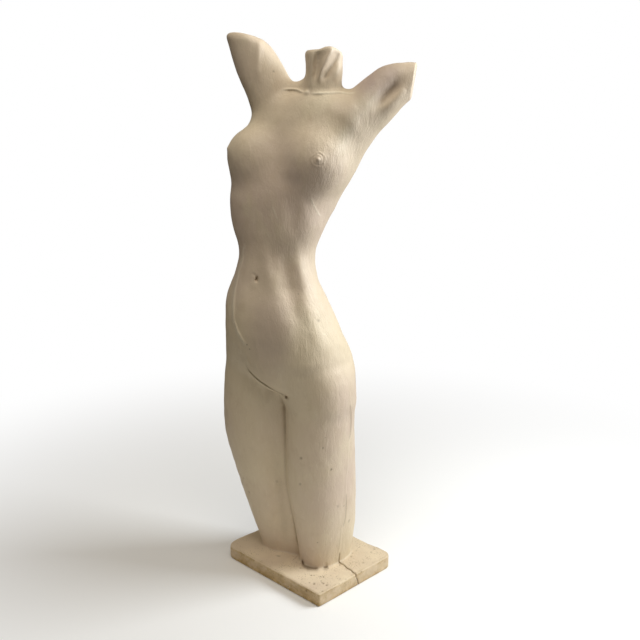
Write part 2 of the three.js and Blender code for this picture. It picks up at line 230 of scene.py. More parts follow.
def rod(p, start, end, start_radius, end_radius):
    """A round bar with ball ends, thicker towards one end."""
    start = np.asarray(start, F32)
    axis = np.asarray(end, F32) - start
    t = np.clip((p - start) @ axis / (axis @ axis), 0, 1)
    return lengths(p - start - t[:, None] * axis) - (start_radius + (end_radius - start_radius) * t)


def trunk_at(z):
    return section_at(TRUNK, np.array([z], F32))[0]


def place(z, x, y):
    """A point given in the trunk's own turned frame at a height: sideways, then backwards."""
    section = trunk_at(z)
    turn = math.radians(section[5])
    c, s = math.cos(turn), math.sin(turn)
    return np.array([section[0] + x * c - y * s, section[1] + x * s + y * c, z], F32)


def chain(*rows):
    return [place(*row) for row in rows]


# ---------- shape: drawn lines
# Directions along which lines are drawn; the near side is her front and left.
NEAR_SIDE = unit((0.687, -0.675, 0.27))
BEHIND = (0, 1, 0)
ABOVE = (0, 0, 1)
LEFT_SIDE = unit((0.97, -0.24, 0))
RIGHT_FRONT = unit((-0.55, -0.83, 0.1))


class Line:
    """A soft ridge, or with a minus lift a groove, on a smooth curve seen along one direction.

    Reach is how far it works along that direction. Ends, or start and finish, are the shares of
    its length over which it fades in and out. A single point gives a bump or a dent.
    """

    # how far from its curve a line is worked out, in widths
    SPREAD = 2.6

    def __init__(
        self, points, width, lift, look=NEAR_SIDE, reach=70.0, ends=0.25, start=None, finish=None
    ):
        self.look = unit(look)
        self.width = width
        self.lift = lift
        self.reach = reach
        points = np.array(points, F32)
        if len(points) > 1:
            points = self.smooth(points)
            flat = points - (points @ self.look)[:, None] * self.look
            run = np.concatenate([[0], np.cumsum(lengths(np.diff(flat, axis=0)))])
            count = max(int(run[-1] / (0.55 * width)), 2) + 1
            at = np.linspace(0, run[-1], count)
            self.points = np.stack([np.interp(at, run, points[:, k]) for k in range(3)], 1).astype(F32)
            s = np.linspace(0, 1, count)
            first, last = start or ends, finish or ends
            rise = np.clip(np.minimum(s / first, (1 - s) / last), 0, 1)
            spacing = run[-1] / (count - 1)
            self.weight = rise * rise * (3 - 2 * rise) * spacing / (width * math.sqrt(math.pi))
        else:
            self.points, self.weight = points, np.ones(1)
        self.middle = self.points.mean(0)
        self.radius = lengths(self.points - self.middle).max() + self.SPREAD * width

    @staticmethod
    def smooth(points):
        """Points close together on a smooth curve through the given ones."""
        padded = np.concatenate([[2 * points[0] - points[1]], points, [2 * points[-1] - points[-2]]])
        t = np.linspace(0, 1, 12, endpoint=False)[:, None]
        out = []
        for a, b, c, d in zip(padded, padded[1:], padded[2:], padded[3:]):
            square = 2 * a - 5 * b + 4 * c - d
            cube = 3 * b - a - 3 * c + d
            out.append(0.5 * (2 * b + (c - a) * t + square * t * t + cube * t**3))
        return np.concatenate(out + [points[-1:]]).astype(F32)

    def add(self, p, out):
        """Adds the line's lift at each point to out."""
        q = p - self.middle
        deep = q @ self.look
        beside = dots(q, q) - deep * deep < self.radius**2
        index = np.flatnonzero(beside & (np.abs(deep) < self.reach * 1.9 + self.radius))
        if not len(index):
            return
        q = p[index]
        total = np.zeros(len(index), F32)
        deep = q @ self.look
        square = dots(q, q) - deep * deep
        for point, weight in zip(self.points, self.weight):
            if weight < 1e-4:
                continue
            depth = point @ self.look
            flat = point - depth * self.look
            away = square - 2 * (q @ flat) + flat @ flat
            inside = np.flatnonzero(away < (self.SPREAD * self.width) ** 2)
            total[inside] += weight * np.exp(
                -away[inside] / self.width**2 - ((deep[inside] - depth) / self.reach) ** 2
            )
        out[index] += self.lift * total


def drawn(p, lines):
    """The lift of all the lines together."""
    out = np.zeros(len(p), F32)
    for line in lines:
        line.add(p, out)
    return out


def ring(centre, radius, facing):
    """Points round a slightly uneven circle that faces a given way."""
    side = unit(np.cross(facing, ABOVE))
    up = np.cross(side, unit(facing))
    angles = np.linspace(0, 2 * math.pi, 17)
    uneven = 1 + 0.07 * np.sin(3 * angles + radius) + 0.05 * np.sin(5 * angles)
    out = []
    for a, r in zip(angles, uneven):
        out.append(np.asarray(centre, F32) + radius * r * (math.cos(a) * side + math.sin(a) * up))
    return out


def curve(width, lift, *rows, **settings):
    """A line through places in the trunk's own frame."""
    return Line(chain(*rows), width, lift, **settings)


# from the waist to the groin
PALE_RIDGE = chain((803, -39, -71), (779, -50, -61), (751, -53, -62), (729, -56, -65), (701, -57, -73),
                   (671, -55, -87), (632, -59, -96), (612, -54, -102), (598, -45, -107), (582, -33, -109),
                   (571, -18, -111))
# along the collar bones: her right one, then her left one
COLLAR_RIDGES = (
    chain((1120, -74, -28), (1121, -57, -24), (1120, -41, -25), (1116, -25, -33), (1114, -12, -38)),
    chain((1113, 0, -41), (1113, 16, -41), (1114, 34, -35), (1115, 48, -26), (1116, 59, -17),
          (1114, 73, -14), (1114, 88, -16), (1115, 101, -18)),
)
COLLAR_KNOB = place(1114, -6, -40)

# the crest of the fold from the chest to her left arm, along which a pale highlight is painted
CHEST_FOLD = chain((1116, 143, -9), (1107, 136, -20), (1091, 130, -28), (1075, 126, -34), (1057, 123, -40),
                   (1039, 120, -40), (1018, 121, -45), (990, 126, -50))

# Forms of the body: width, lift and curve.
BODY_LINES = [
    # midline above the navel
    curve(9, -1.2, (895, 14, -86), (852, 9, -82), (807, 1, -73), (763, -3, -71), (742, -1, -73)),
    # the belly's upright muscle on each side and the valley beside it
    curve(16, 4.2, (822, 4, -76), (780, 8, -74), (756, 16, -73), (733, 26, -74), (710, 36, -75),
          (684, 46, -80)),
    curve(17, -6.2, (798, 50, -57), (761, 55, -54), (723, 66, -56), (690, 78, -60), (660, 88, -66),
          (628, 93, -76)),
    curve(15, 3.8, (792, 80, -38), (761, 81, -40), (733, 92, -38), (702, 104, -38), (668, 114, -46)),
    curve(20, -2.2, (664, 98, -62), (634, 100, -71), (604, 96, -82), (574, 91, -89), (540, 85, -92)),
    curve(20, 4.4, (700, 101, -44), (664, 113, -49), (632, 121, -51), (599, 128, -47), (556, 138, -40)),
    curve(20, 3, (830, -26, -74), (760, -32, -68), (700, -36, -76), (640, -42, -88)),
    curve(16, -4, (790, -60, -52), (740, -72, -48), (690, -84, -52), (640, -94, -62)),
    # under the ribs
    curve(20, -4.5, (918, 54, -80), (897, 62, -75), (865, 68, -66), (836, 68, -60), (812, 60, -60)),
    # pale ridge from the waist to the groin
    Line(PALE_RIDGE, 3.0, 2.2, ends=0.15),
    # fold from the chest to her left arm, the armpit behind it and the fold behind that
    curve(25, 4.4, (997, 128, -47), (1021, 120, -43), (1043, 117, -44), (1061, 120, -41), (1079, 124, -35),
          (1095, 130, -28), (1107, 136, -21), (1116, 142, -13), (1128, 150, -3)),
    curve(36, 8.5, (1092, 76, -44), (1068, 84, -52), (1044, 91, -57)),
    curve(26, 4.5, (1054, 100, -50), (1038, 98, -55)),
    curve(13, 2.2, (1098, 139, -22), (1074, 134, -30), (1050, 130, -36), (1022, 128, -40)),
    curve(26, 5, (1056, 147, -8), (1024, 142, -6), (992, 140, -6)),
    curve(12, -12, (1148, 180, 21), (1136, 172, 19), (1124, 164, 15), (1112, 157, 9), (1100, 152, 2),
          (1088, 147, -3), (1074, 143, -8), start=0.3, finish=0.5),
    curve(10, -0.7, (1068, 139, -18), (1050, 138, -14), (1029, 136, -9), (1000, 136, -10)),
    curve(10, 3.8, (1126, 190, 22), (1114, 186, 17), (1102, 182, 12), (1090, 176, 7), (1077, 168, 2)),
    # tendon along her right arm
    curve(8, 3.5, (1228, -134, -8), (1210, -130, -26), (1190, -125, -42), (1165, -125, -46),
          (1130, -122, -50)),
    # neck cords and the hollows beside them
    curve(8.5, 5, (1204, 3, -40), (1187, 1, -41), (1171, 0, -41), (1155, 0, -40), (1139, -1, -40),
          (1117, -2, -39), ends=0.1),
    curve(6, -1.8, (1190, -15, -30), (1167, -16, -29), (1143, -17, -28)),
    curve(7.5, -6.5, (1206, 19, -36), (1190, 17, -35), (1171, 14, -35), (1152, 12, -34), (1130, 10, -37)),
    curve(6, 5.5, (1204, 44, -22), (1185, 36, -29), (1170, 28, -33), (1153, 19, -33), (1134, 13, -37),
          ends=0.12),
    curve(6, -5.5, (1203, 55, -14), (1185, 48, -24), (1170, 41, -30), (1154, 32, -33), (1137, 23, -36),
          ends=0.2),
    curve(9, -3.2, (1192, 54, -12), (1172, 46, -22), (1152, 36, -29), (1132, 25, -34)),
    curve(7, 3, (1175, 53, -4), (1157, 50, -12), (1138, 47, -17)),
    # back: furrow of the spine, shoulder blades, dimples
    curve(17, -6.5, (1120, 0, 50), (1060, 0, 70), (980, 0, 92), (860, 0, 80), (760, 0, 66), (690, 0, 76),
          (620, 0, 92), look=BEHIND),
    curve(23, 4, (1088, 52, 62), (1040, 58, 76), (985, 74, 80), (950, 92, 74), look=BEHIND),
    curve(23, 4, (1088, -48, 62), (1040, -56, 76), (985, -70, 80), (945, -84, 76), look=BEHIND),
    curve(20, -2, (1040, 36, 84), (990, 46, 90), (940, 56, 88), look=BEHIND),
    curve(20, -2, (1040, -34, 84), (990, -42, 90), (940, -50, 88), look=BEHIND),
    *[curve(16, 3.5, (820, s * 30, 72), (760, s * 32, 66), (700, s * 30, 76), look=BEHIND)
      for s in (1, -1)],
    *[curve(9, -2.5, (640, s * 30, 86), look=BEHIND) for s in (1, -1)],
    # cleft and the folds under the buttocks
    curve(9, -15, (622, 0, 92), (580, 0, 104), (520, 0, 116), (465, 2, 112), (430, 4, 90), look=BEHIND),
    curve(8, -5, (446, 14, 100), (440, 45, 108), (446, 80, 96), (462, 106, 76), look=BEHIND, reach=32),
    curve(8, -5, (446, -12, 100), (440, -45, 108), (446, -80, 96), (462, -106, 76), look=BEHIND, reach=32),
]
LEFT_NIPPLE = place(985, 103, -91)
RIGHT_NIPPLE = place(996, -123, -72)
FINE_LINES = [
    # groin
    curve(2.4, -3.2, (545, -44, -101), (533, -39, -102), (520, -28, -103), (503, -15, -99), (487, -2, -95),
          (475, 14, -90), (468, 28, -84), (466, 40, -78), ends=0.3),
    # navel and the crease that runs into it
    curve(2.8, -7, (727, -2, -73), (721, -2, -73), (715, -1, -74)),
    curve(3.0, -0.8, (733, -16, -73), (729, -9, -73), (726, -3, -73)),
    curve(8, 1.2, (709, -6, -82)),
    # areolas and nipples
    Line([LEFT_NIPPLE], 16, 1.8),
    Line([LEFT_NIPPLE], 5.0, 4.6),
    Line(ring(LEFT_NIPPLE, 8.5, NEAR_SIDE), 2.0, 0.9, ends=0.001),
    Line(ring(LEFT_NIPPLE, 14, NEAR_SIDE), 2.2, 0.7, ends=0.001),
    Line([RIGHT_NIPPLE], 14, 1.6, look=RIGHT_FRONT),
    Line([RIGHT_NIPPLE], 6.0, 1.8, look=RIGHT_FRONT),
    # collar bones, the knob between them and the shallow grooves under them
    Line(COLLAR_RIDGES[0], 3.0, 2.8),
    Line(COLLAR_RIDGES[1], 3.0, 1.8),
    Line([COLLAR_KNOB], 5.0, 3.4),
    curve(5.5, -1.2, (1115, -66, -26), (1115, -51, -23), (1112, -28, -33), (1109, -10, -41)),
    curve(5.0, -1.2, (1107, 5, -42), (1107, 16, -42), (1108, 30, -40)),
    # pit where the groin meets the line between the legs
    Line([place(462, 19, -76)], 3.4, -4.5),
]
# Pale scratches below her left breast: a long one, and a row of short ones.
SCRATCHES = (
    chain((883, 26, -84), (868, 34, -81), (854, 41, -78)),
    *[chain((901 - 8 * i, 97 + 3 * i, -56 + 6 * i), (892 - 8 * i, 103 + 3 * i, -48 + 6 * i))
      for i in range(5)],
)
FINE_LINES += [Line(scratch, 1.5, 0.4, ends=0.3) for scratch in SCRATCHES]
# The mould's seam down her left leg and its open parts, the crack across the plinth's top and down
# its side, and the ragged gap round the foot.
SEAM = [(126, 8, 480), (121, 14, 440), (117, 21, 390), (117, 17, 347), (119, 12, 290), (117, 8, 221),
        (114, 9, 161), (111, 3, 129), (106, 5, 95), (100, 5, 60), (96, 6, 33)]
OPEN_SEAM = (SEAM[1:4], SEAM[5:8], SEAM[9:])
CRACK = [(93, 8, 32), (101, 6, 32), (113, 6, 32), (126, 1, 32), (140, 1, 32), (149, -3, 32),
         (162, -4, 32)]
CRACK_DOWN = [(162, -4, 34), (162, -5, 24), (162, 0, 17), (162, 2, 8), (162, 5, -3)]
FOOT_GAPS = (
    [(31, -44, 32), (34, -52, 32), (39, -58, 32), (46, -62, 32)],
    [(42, -60, 32), (50, -63, 32), (58, -63, 32), (66, -61, 32)],
    [(60, -63, 32), (69, -59, 32), (76, -54, 32), (82, -47, 32)],
    [(88, -38, 32), (92, -28, 32)],
)
PLINTH_LINES = [
    Line(SEAM, 1.5, -0.45, look=LEFT_SIDE, ends=0.04),
    Line(OPEN_SEAM[0], 1.8, -1.3, look=LEFT_SIDE, ends=0.4),
    Line(OPEN_SEAM[1], 1.6, -0.9, look=LEFT_SIDE, ends=0.4),
    Line(OPEN_SEAM[2], 1.5, -1.3, look=LEFT_SIDE, ends=0.3),
    Line([(x, y - 4, z) for x, y, z in SEAM], 3.5, 0.6, look=LEFT_SIDE, ends=0.1),
    Line(CRACK, 1.2, -3.5, look=ABOVE, reach=12, ends=0.03),
    Line(CRACK_DOWN, 1.2, -3.0, look=(1, 0, 0), reach=12, ends=0.03),
    *[Line(gap, 2.0, -3.5, look=ABOVE, reach=10, ends=0.3) for gap in FOOT_GAPS],
]


def waves(p, seed, shortest, longest, count=10):
    """Uneven ripples, about one unit high, from plane waves in random directions."""
    chance = np.random.default_rng(seed)
    out = np.zeros(len(p), F32)
    for _ in range(count):
        way = chance.normal(size=3)
        way *= 2 * math.pi / (np.linalg.norm(way) * chance.uniform(shortest, longest))
        out += np.sin(p @ way.astype(F32) + chance.uniform(0, 2 * math.pi))
    return out / math.sqrt(count)


# ---------- shape: the whole figure
CHIP_SEED = 11
CHIPS_PER_EDGE = 9
PLINTH_WOBBLE = 0.4
# how far from the slab's faces its wear is worked out
PLINTH_SKIN = 12


def edge_chips():
    """Small bites out of the plinth's top edges: centre and radius of each."""
    chance = np.random.default_rng(CHIP_SEED)
    out = []
    for x_sign, y_sign, along_x in ((1, 0, False), (0, -1, True), (-1, 0, False), (0, 1, True)):
        for _ in range(CHIPS_PER_EDGE):
            radius = chance.uniform(3.5, 8)
            out_by = radius * chance.uniform(0.45, 0.75)
            along = chance.uniform(-0.44, 0.44)
            x = along * PLINTH_WIDTH if along_x else x_sign * (PLINTH_WIDTH / 2 + out_by)
            y = y_sign * (PLINTH_DEPTH / 2 + out_by) if along_x else along * PLINTH_DEPTH
            out.append((np.array((x, y, PLINTH_HEIGHT + out_by), F32), radius))
    return out


CHIPS = edge_chips()


def plinth(p):
    """A worn slab: the plain slab with uneven faces, softer edges here and there, and chips."""
    out = plain_slab(p, PLINTH_EDGE)
    index = np.flatnonzero(np.abs(out) < PLINTH_SKIN)
    q = p[index]
    soft = PLINTH_EDGE + 2.2 * np.clip(waves(q, 5, 60, 140), 0, 1.6)
    soft = soft + 4 * np.clip((q[:, 1] - q[:, 0]) / 200, 0, 1)
    worn = plain_slab(q, soft) + PLINTH_WOBBLE * waves(q, 6, 35, 110) * np.clip(q[:, 2] / 8, 0, 1)
    for centre, radius in CHIPS:
        worn = trim(worn, radius - lengths(q - centre), 1.5)
    out[index] = worn
    return out


def plain_slab(p, edge):
    """A slab with one sharp corner towards the viewer's side and rounder ones elsewhere."""
    x, y = p[:, 0], p[:, 1]
    radius = np.where(
        y < 0,
        np.where(x > 0, PLINTH_CORNERS["near"], PLINTH_CORNERS["side"]),
        PLINTH_CORNERS["back"],
    ).astype(F32)
    qx = np.abs(x) - PLINTH_WIDTH / 2 + radius
    qy = np.abs(y) - PLINTH_DEPTH / 2 + radius
    side = np.hypot(np.maximum(qx, 0), np.maximum(qy, 0)) + np.minimum(np.maximum(qx, qy), 0) - radius
    top = np.abs(p[:, 2] - PLINTH_HEIGHT / 2) - PLINTH_HEIGHT / 2
    side, top = side + edge, top + edge
    corner = np.hypot(np.maximum(side, 0), np.maximum(top, 0))
    return corner + np.minimum(np.maximum(side, top), 0) - edge


def arm_stump(p, root, tip, rows, cuts):
    """An arm lofted from its root towards its tip and cut off by planes."""
    f = loft(along_limb(p, root, tip), rows, 30)
    for point, facing, soft in cuts:
        f = trim(f, (p - point) @ np.array(facing, F32), soft)
    return f


# The trunk runs into the legs with a wide fillet, and with a narrow one near the groin.
HIP_FILLET = 50
GROIN_FILLET = 8
GROIN = place(500, -14, -90)
GROIN_REACH = 74.0


def figure(p):
    """The figure without its drawn lines, built up from the trunk outwards."""
    f = loft(p, TRUNK, 40)
    f = join(f, loft(p, NECK, 4), 22)
    f = join(f, arm_stump(p, RIGHT_ARM_ROOT, RIGHT_ARM_TIP, RIGHT_ARM, RIGHT_ARM_CUTS), 36)
    f = join(f, arm_stump(p, LEFT_ARM_ROOT, LEFT_ARM_TIP, LEFT_ARM, LEFT_ARM_CUTS), 38)
    # the slope from the neck to each shoulder
    f = join(f, rod(p, (14, 22, 1131), (-52, 8, 1106), 17, 24), 18)
    f = join(f, rod(p, (34, 36, 1111), (84, 62, 1088), 16, 18), 14)
    # breasts
    for side in (-1, 1):
        centre = place(978, side * 76 - 2, -39 if side < 0 else -37)
        f = join(f, ellipsoid(p, centre, (62, 57, 62), 17 + side * 22, 6), 34)
    # from each shoulder down into the chest: her left, then her right
    f = join(f, rod(p, (110.9, 95.7, 1094), (24.6, 20.7, 892), 30, 26), 44)
    f = join(f, rod(p, (-96.1, -9.3, 1120), (-88.1, -32.6, 900), 32, 30), 40)
    # belly, the mound under it, and her left flank
    f = join(f, ellipsoid(p, place(600, -8, -34), (86, 70, 92), 13), 40)
    f = join(f, ellipsoid(p, place(524, 22, -42), (60, 60, 62), 12), 40)
    f = join(f, rod(p, place(735, 58, -14), place(650, 88, -14), 26, 32), 26)
    legs = join(loft(p, RIGHT_LEG, 30), loft(p, BETWEEN_LEGS, 8), 34)
    legs = join(legs, loft(p, LEFT_LEG, 30), 5)
    q = p - GROIN
    crisp = np.exp(-dots(q, q) / GROIN_REACH**2)
    f = join(f, legs, HIP_FILLET - (HIP_FILLET - GROIN_FILLET) * crisp)
    # buttocks
    for side in (-1, 1):
        f = join(f, ellipsoid(p, place(505, side * 66, 50), (72, 66, 76), 10), 30)
    return f


# The height of the broken rim, across the neck from her right to her left.
BREAK_PROFILE = ((-6, 1195), (2, 1199.5), (14, 1201), (26, 1201.5), (33, 1204), (40, 1206.8), (48, 1207.6),
                 (55, 1206.3), (61, 1203.5), (67, 1200), (74, 1195), (84, 1189))
NECK_MIDDLE = (28, 26)
TOP = 1240


def neck_break(p, f):
    """The figure with its neck broken off along the rim, and nothing above its top."""
    across = 0.701 * p[:, 0] + 0.713 * p[:, 1]
    height = np.interp(across, *np.transpose(BREAK_PROFILE)).astype(F32)
    near = (np.hypot(p[:, 0] - NECK_MIDDLE[0], p[:, 1] - NECK_MIDDLE[1]) < 62) & (p[:, 2] > 1150)
    f = np.where(near, trim(f, p[:, 2] - height, 6), f)
    return trim(f, p[:, 2] - TOP, 4)


def field(p):
    """The distance of each point from the whole casting's surface, less than zero inside."""
    p = np.asarray(p, F32)
    f = figure(p) - drawn(p, BODY_LINES) - drawn(p, FINE_LINES)
    f = neck_break(p, f)
    f = join(np.maximum(f, -p[:, 2]), plinth(p), 5)
    return f - drawn(p, PLINTH_LINES)


# ---------- mesh
COARSE = 20
CELL = 5
FINEST = 1.1
LEAST_BEND = 0.16
ROUNDS = 5
MOST_TRIANGLES = 186_000


def split_cells(cells, ratio):
    """Each cell of a grid repeated along all three axes."""
    for axis in range(3):
        cells = np.repeat(cells, ratio, axis)
    return cells


def grid_values(cell):
    """The field on a regular grid, worked out exactly only where the surface is near."""
    ratio = COARSE // cell
    steps = np.ceil((HIGH - LOW) / COARSE).astype(int)
    axes = [LOW[k] + COARSE * np.arange(steps[k] + 1) for k in range(3)]
    grid = np.stack(np.meshgrid(*axes, indexing="ij"), -1).reshape(-1, 3)
    coarse = field(grid).reshape(steps + 1)
    near = np.abs(coarse) < COARSE * 1.9
    block = np.zeros(steps, bool)
    for dx in (0, 1):
        for dy in (0, 1):
            for dz in (0, 1):
                block |= near[dx : dx + steps[0], dy : dy + steps[1], dz : dz + steps[2]]
    values = np.pad(split_cells(coarse[:-1, :-1, :-1], ratio), ((0, 1),) * 3, mode="edge").astype(F32)
    wanted = np.pad(split_cells(block, ratio), ((0, 1),) * 3)
    for axis in range(3):
        wanted |= np.roll(wanted, 1, axis)
    index = np.argwhere(wanted)
    values[tuple(index.T)] = field(LOW + cell * index)
    return values


def surface_net(values, cell):
    """One vertex in each grid cell that the surface crosses, and one quad across each crossed edge."""
    shape = np.array(values.shape) - 1
    total = np.zeros((shape.prod(), 3))
    count = np.zeros(shape.prod())
    quads = []
    for axis in range(3):
        first = [slice(None)] * 3
        second = [slice(None)] * 3
        first[axis] = slice(None, -1)
        second[axis] = slice(1, None)
        low, high = values[tuple(first)], values[tuple(second)]
        index = np.argwhere((low < 0) != (high < 0))
        a, b = low[tuple(index.T)], high[tuple(index.T)]
        crossing = index.astype(float)
        crossing[:, axis] += a / (a - b)
        u, v = (axis + 1) % 3, (axis + 2) % 3
        corners = []
        for du, dv in ((0, 0), (-1, 0), (-1, -1), (0, -1)):
            cell_index = index.copy()
            cell_index[:, u] += du
            cell_index[:, v] += dv
            flat = np.ravel_multi_index(cell_index.T, shape)
            for k in range(3):
                total[:, k] += np.bincount(flat, crossing[:, k], minlength=len(total))
            count += np.bincount(flat, minlength=len(count))
            corners.append(flat)
        quad = np.stack(corners, 1)
        quad[a > 0] = quad[a > 0][:, ::-1]
        quads.append(quad)
    quads = np.concatenate(quads)
    used = np.flatnonzero(count)
    number = np.full(len(count), -1)
    number[used] = np.arange(len(used))
    return (LOW + cell * total[used] / count[used, None]).astype(F32), number[quads]


def split_quads(points, quads):
    """Each quad as two triangles, cut along its shorter diagonal."""
    a, b, c, d = (points[quads[:, k]] for k in range(4))
    across = lengths(a - c) <= lengths(b - d)
    first = np.where(across[:, None], quads[:, [0, 1, 2]], quads[:, [1, 2, 3]])
    second = np.where(across[:, None], quads[:, [0, 2, 3]], quads[:, [1, 3, 0]])
    return np.concatenate([first, second])


TETRAHEDRON = np.array(((1, 1, 1), (1, -1, -1), (-1, 1, -1), (-1, -1, 1)), F32)
SLOPE_STEP = 0.35


def value_and_slope(p):
    """The field at each point and the way it rises, which is outwards."""
    value = np.zeros(len(p), F32)
    rise = np.zeros_like(p)
    for corner in TETRAHEDRON:
        f = field(p + SLOPE_STEP * corner)
        value += f / 4
        rise += f[:, None] * corner / (4 * SLOPE_STEP)
    return value, rise


def settle(points, rounds=2):
    """Moves points onto the surface and gives the outward direction at each."""
    for _ in range(rounds):
        value, rise = value_and_slope(points)
        square = np.maximum(dots(rise, rise), 0.25)
        move = (value / square)[:, None] * rise
        size = lengths(move)[:, None]
        points = points - move * np.minimum(1, 3 / np.maximum(size, 1e-6))
    return points, rise / np.maximum(lengths(rise), 1e-6)[:, None]


def edges_of(triangles):
    """Each edge once, and the three edge numbers of every triangle."""
    pairs = np.concatenate([triangles[:, [0, 1]], triangles[:, [1, 2]], triangles[:, [2, 0]]])
    pairs.sort(axis=1)
    key = pairs[:, 0].astype(np.int64) * (triangles.max() + 1) + pairs[:, 1]
    _, first, back = np.unique(key, return_index=True, return_inverse=True)
    return pairs[first], back.reshape(3, -1).T


def refine(points, triangles, edges, sides, marked):
    """Splits the marked edges in half, and every triangle that has one, so that no gap opens."""
    number = np.full(len(edges), -1)
    number[marked] = len(points) + np.arange(marked.sum())
    points = np.concatenate([points, points[edges[marked]].mean(1)])
    middle = number[sides]
    cut = middle >= 0
    count = cut.sum(1)
    out = [triangles[count == 0]]
    for k in range(3):
        order = [k, (k + 1) % 3, (k + 2) % 3]
        a, b, c = (triangles[:, i] for i in order)
        ab, bc, _ = (middle[:, i] for i in order)
        one = (count == 1) & cut[:, k]
        out += [np.stack([a, ab, c], 1)[one], np.stack([ab, b, c], 1)[one]]
        two = (count == 2) & ~cut[:, order[2]]
        out.append(np.stack([ab, b, bc], 1)[two])
        shorter = lengths(points[a] - points[bc]) < lengths(points[ab] - points[c])
        out += [np.stack([a, ab, bc], 1)[two & shorter], np.stack([a, bc, c], 1)[two & shorter]]
        out += [np.stack([a, ab, c], 1)[two & ~shorter], np.stack([ab, bc, c], 1)[two & ~shorter]]
    whole = count == 3
    a, b, c = triangles[whole].T
    ab, bc, ca = middle[whole].T
    for corner in ((a, ab, ca), (ab, b, bc), (ca, bc, c), (ab, bc, ca)):
        out.append(np.stack(corner, 1))
    return points, np.concatenate(out)


def relax(points, normals, edges):
    """Slides each point along the surface, halfway to the middle of its neighbours."""
    total = np.zeros_like(points)
    count = np.bincount(edges.ravel(), minlength=len(points)).astype(F32)
    for k in range(3):
        total[:, k] = np.bincount(edges[:, 0], points[edges[:, 1], k], minlength=len(points))
        total[:, k] += np.bincount(edges[:, 1], points[edges[:, 0], k], minlength=len(points))
    move = total / count[:, None] - points
    move -= dots(move, normals)[:, None] * normals
    return points + 0.5 * move


WIDEST_FINE_LINE = 6


def near_fine_line(p):
    """Whether each point lies in or beside one of the fine lines."""
    out = np.zeros(len(p), bool)
    for line in FINE_LINES + PLINTH_LINES:
        if line.width > WIDEST_FINE_LINE:
            continue
        trace = np.zeros(len(p), F32)
        line.add(p, trace)
        out |= np.abs(trace) > 0.05 * abs(line.lift)
    return out


RIPPLE = 0.22
PIT_SEED = 4
# The larger pits: place, radius and depth.
KNOWN_PITS = [
    (place(580, -26, -112), 2.0, 1.2),
    (place(571, -20, -112), 1.7, 1.0),
    (np.array((48, -52, 96), F32), 2.2, 1.0),
    (np.array((-27, -70, 128), F32), 2.2, 1.0),
    (np.array((-70, -119, 300), F32), 1.8, 0.9),
    (np.array((24, -60, 215), F32), 1.9, 1.0),
]


def pick_pits(points):
    """The larger pits, and a scatter of small ones that is thicker on the legs and the plinth."""
    chance = np.random.default_rng(PIT_SEED)
    low = np.flatnonzero(points[:, 2] < 500)
    on_slab = (points[:, 2] < PLINTH_HEIGHT + 2) & (points[:, 2] > 4)
    plinth_left = np.flatnonzero(on_slab & (points[:, 0] > -40))
    anywhere = np.arange(len(points))
    pits = list(KNOWN_PITS)
    # where, how many, and their least and greatest radius
    groups = ((low, 26, 0.9, 1.7), (plinth_left, 40, 1.0, 2.1), (anywhere, 16, 0.9, 1.5))
    for group, count, small, large in groups:
        for i in chance.choice(group, count, replace=False):
            radius = chance.uniform(small, large)
            pits.append((points[i], radius, radius * chance.uniform(0.35, 0.6)))
    return pits


def pit_depth(p, pits):
    """How deep the pits are at each point."""
    out = np.zeros(len(p), F32)
    for centre, radius, depth in pits:
        index = np.flatnonzero(np.abs(p[:, 2] - centre[2]) < 2.5 * radius)
        away = lengths(p[index] - centre) / radius
        out[index] = np.maximum(out[index], depth * np.exp(-(away**4)))
    return out


def figure_mesh():
    """The surface as triangles, split again and again where it bends most and along the fine lines."""
    points, quads = surface_net(grid_values(CELL), CELL)
    points, normals = settle(points)
    triangles = split_quads(points, quads)
    pits = pick_pits(points)
    for _ in range(ROUNDS):
        edges, sides = edges_of(triangles)
        points = relax(points, normals, edges)
        points, normals = settle(points, 1)
        size = lengths(points[edges[:, 0]] - points[edges[:, 1]])
        cosine = dots(normals[edges[:, 0]], normals[edges[:, 1]])
        bend = np.arccos(np.clip(cosine, -1, 1))
        need = bend * np.minimum(size, 6)
        need[(size < 2 * FINEST) | (bend < LEAST_BEND)] = 0
        middle = points[edges].mean(1)
        fine = near_fine_line(middle) | (pit_depth(middle, pits) > 0.1)
        need[fine & (size > 1.6 * FINEST)] = 9
        room = (MOST_TRIANGLES - len(triangles)) // 3
        if room < 1000:
            break
        bar = np.partition(need, -room)[-room] if room < len(need) else 0
        marked = need > max(bar, 1e-6)
        points, triangles = refine(points, triangles, edges, sides, marked)
        points, normals = settle(points)
    return points, normals, triangles, pits


points, normals, triangles, pits = figure_mesh()
pit = pit_depth(points, pits)
# ripples and pits fade out towards the underside, which stays flat
off_ground = np.clip(points[:, 2] / 12, 0, 1)
relief = RIPPLE * waves(points, 1, 16, 34, 14) + RIPPLE * waves(points, 2, 40, 90, 8)
points_shown = points + ((relief - pit) * off_ground)[:, None] * normals
points_shown[:, 2] = np.maximum(points_shown[:, 2], 0)


def mesh_object(name, points, triangles):
    mesh = bpy.data.meshes.new(name)
    mesh.vertices.add(len(points))
    mesh.vertices.foreach_set("co", (points * MM).astype(F32).ravel())
    mesh.loops.add(triangles.size)
    mesh.loops.foreach_set("vertex_index", triangles.astype(np.int32).ravel())
    mesh.polygons.add(len(triangles))
    mesh.polygons.foreach_set("loop_start", np.arange(0, triangles.size, 3, dtype=np.int32))
    mesh.update(calc_edges=True)
    mesh.validate()
    mesh.polygons.foreach_set("use_smooth", np.ones(len(triangles), bool))
    thing = bpy.data.objects.new(name, mesh)
    bpy.context.scene.collection.objects.link(thing)
    return thing


def attribute(thing, name, values):
    layer = thing.data.attributes.new(name, "FLOAT", "POINT")
    layer.data.foreach_set("value", values.astype(F32))


torso = mesh_object("torso_with_plinth_surface", points_shown, triangles)


# ---------- where the paint is worn, pale, scratched or pitted, and where shade and highlights are painted
def tight(reach):
    """How closed in the surface is within a given distance, from 0 in the open."""
    return 1 - np.clip(field(points + normals * reach) / reach, 0, 1)


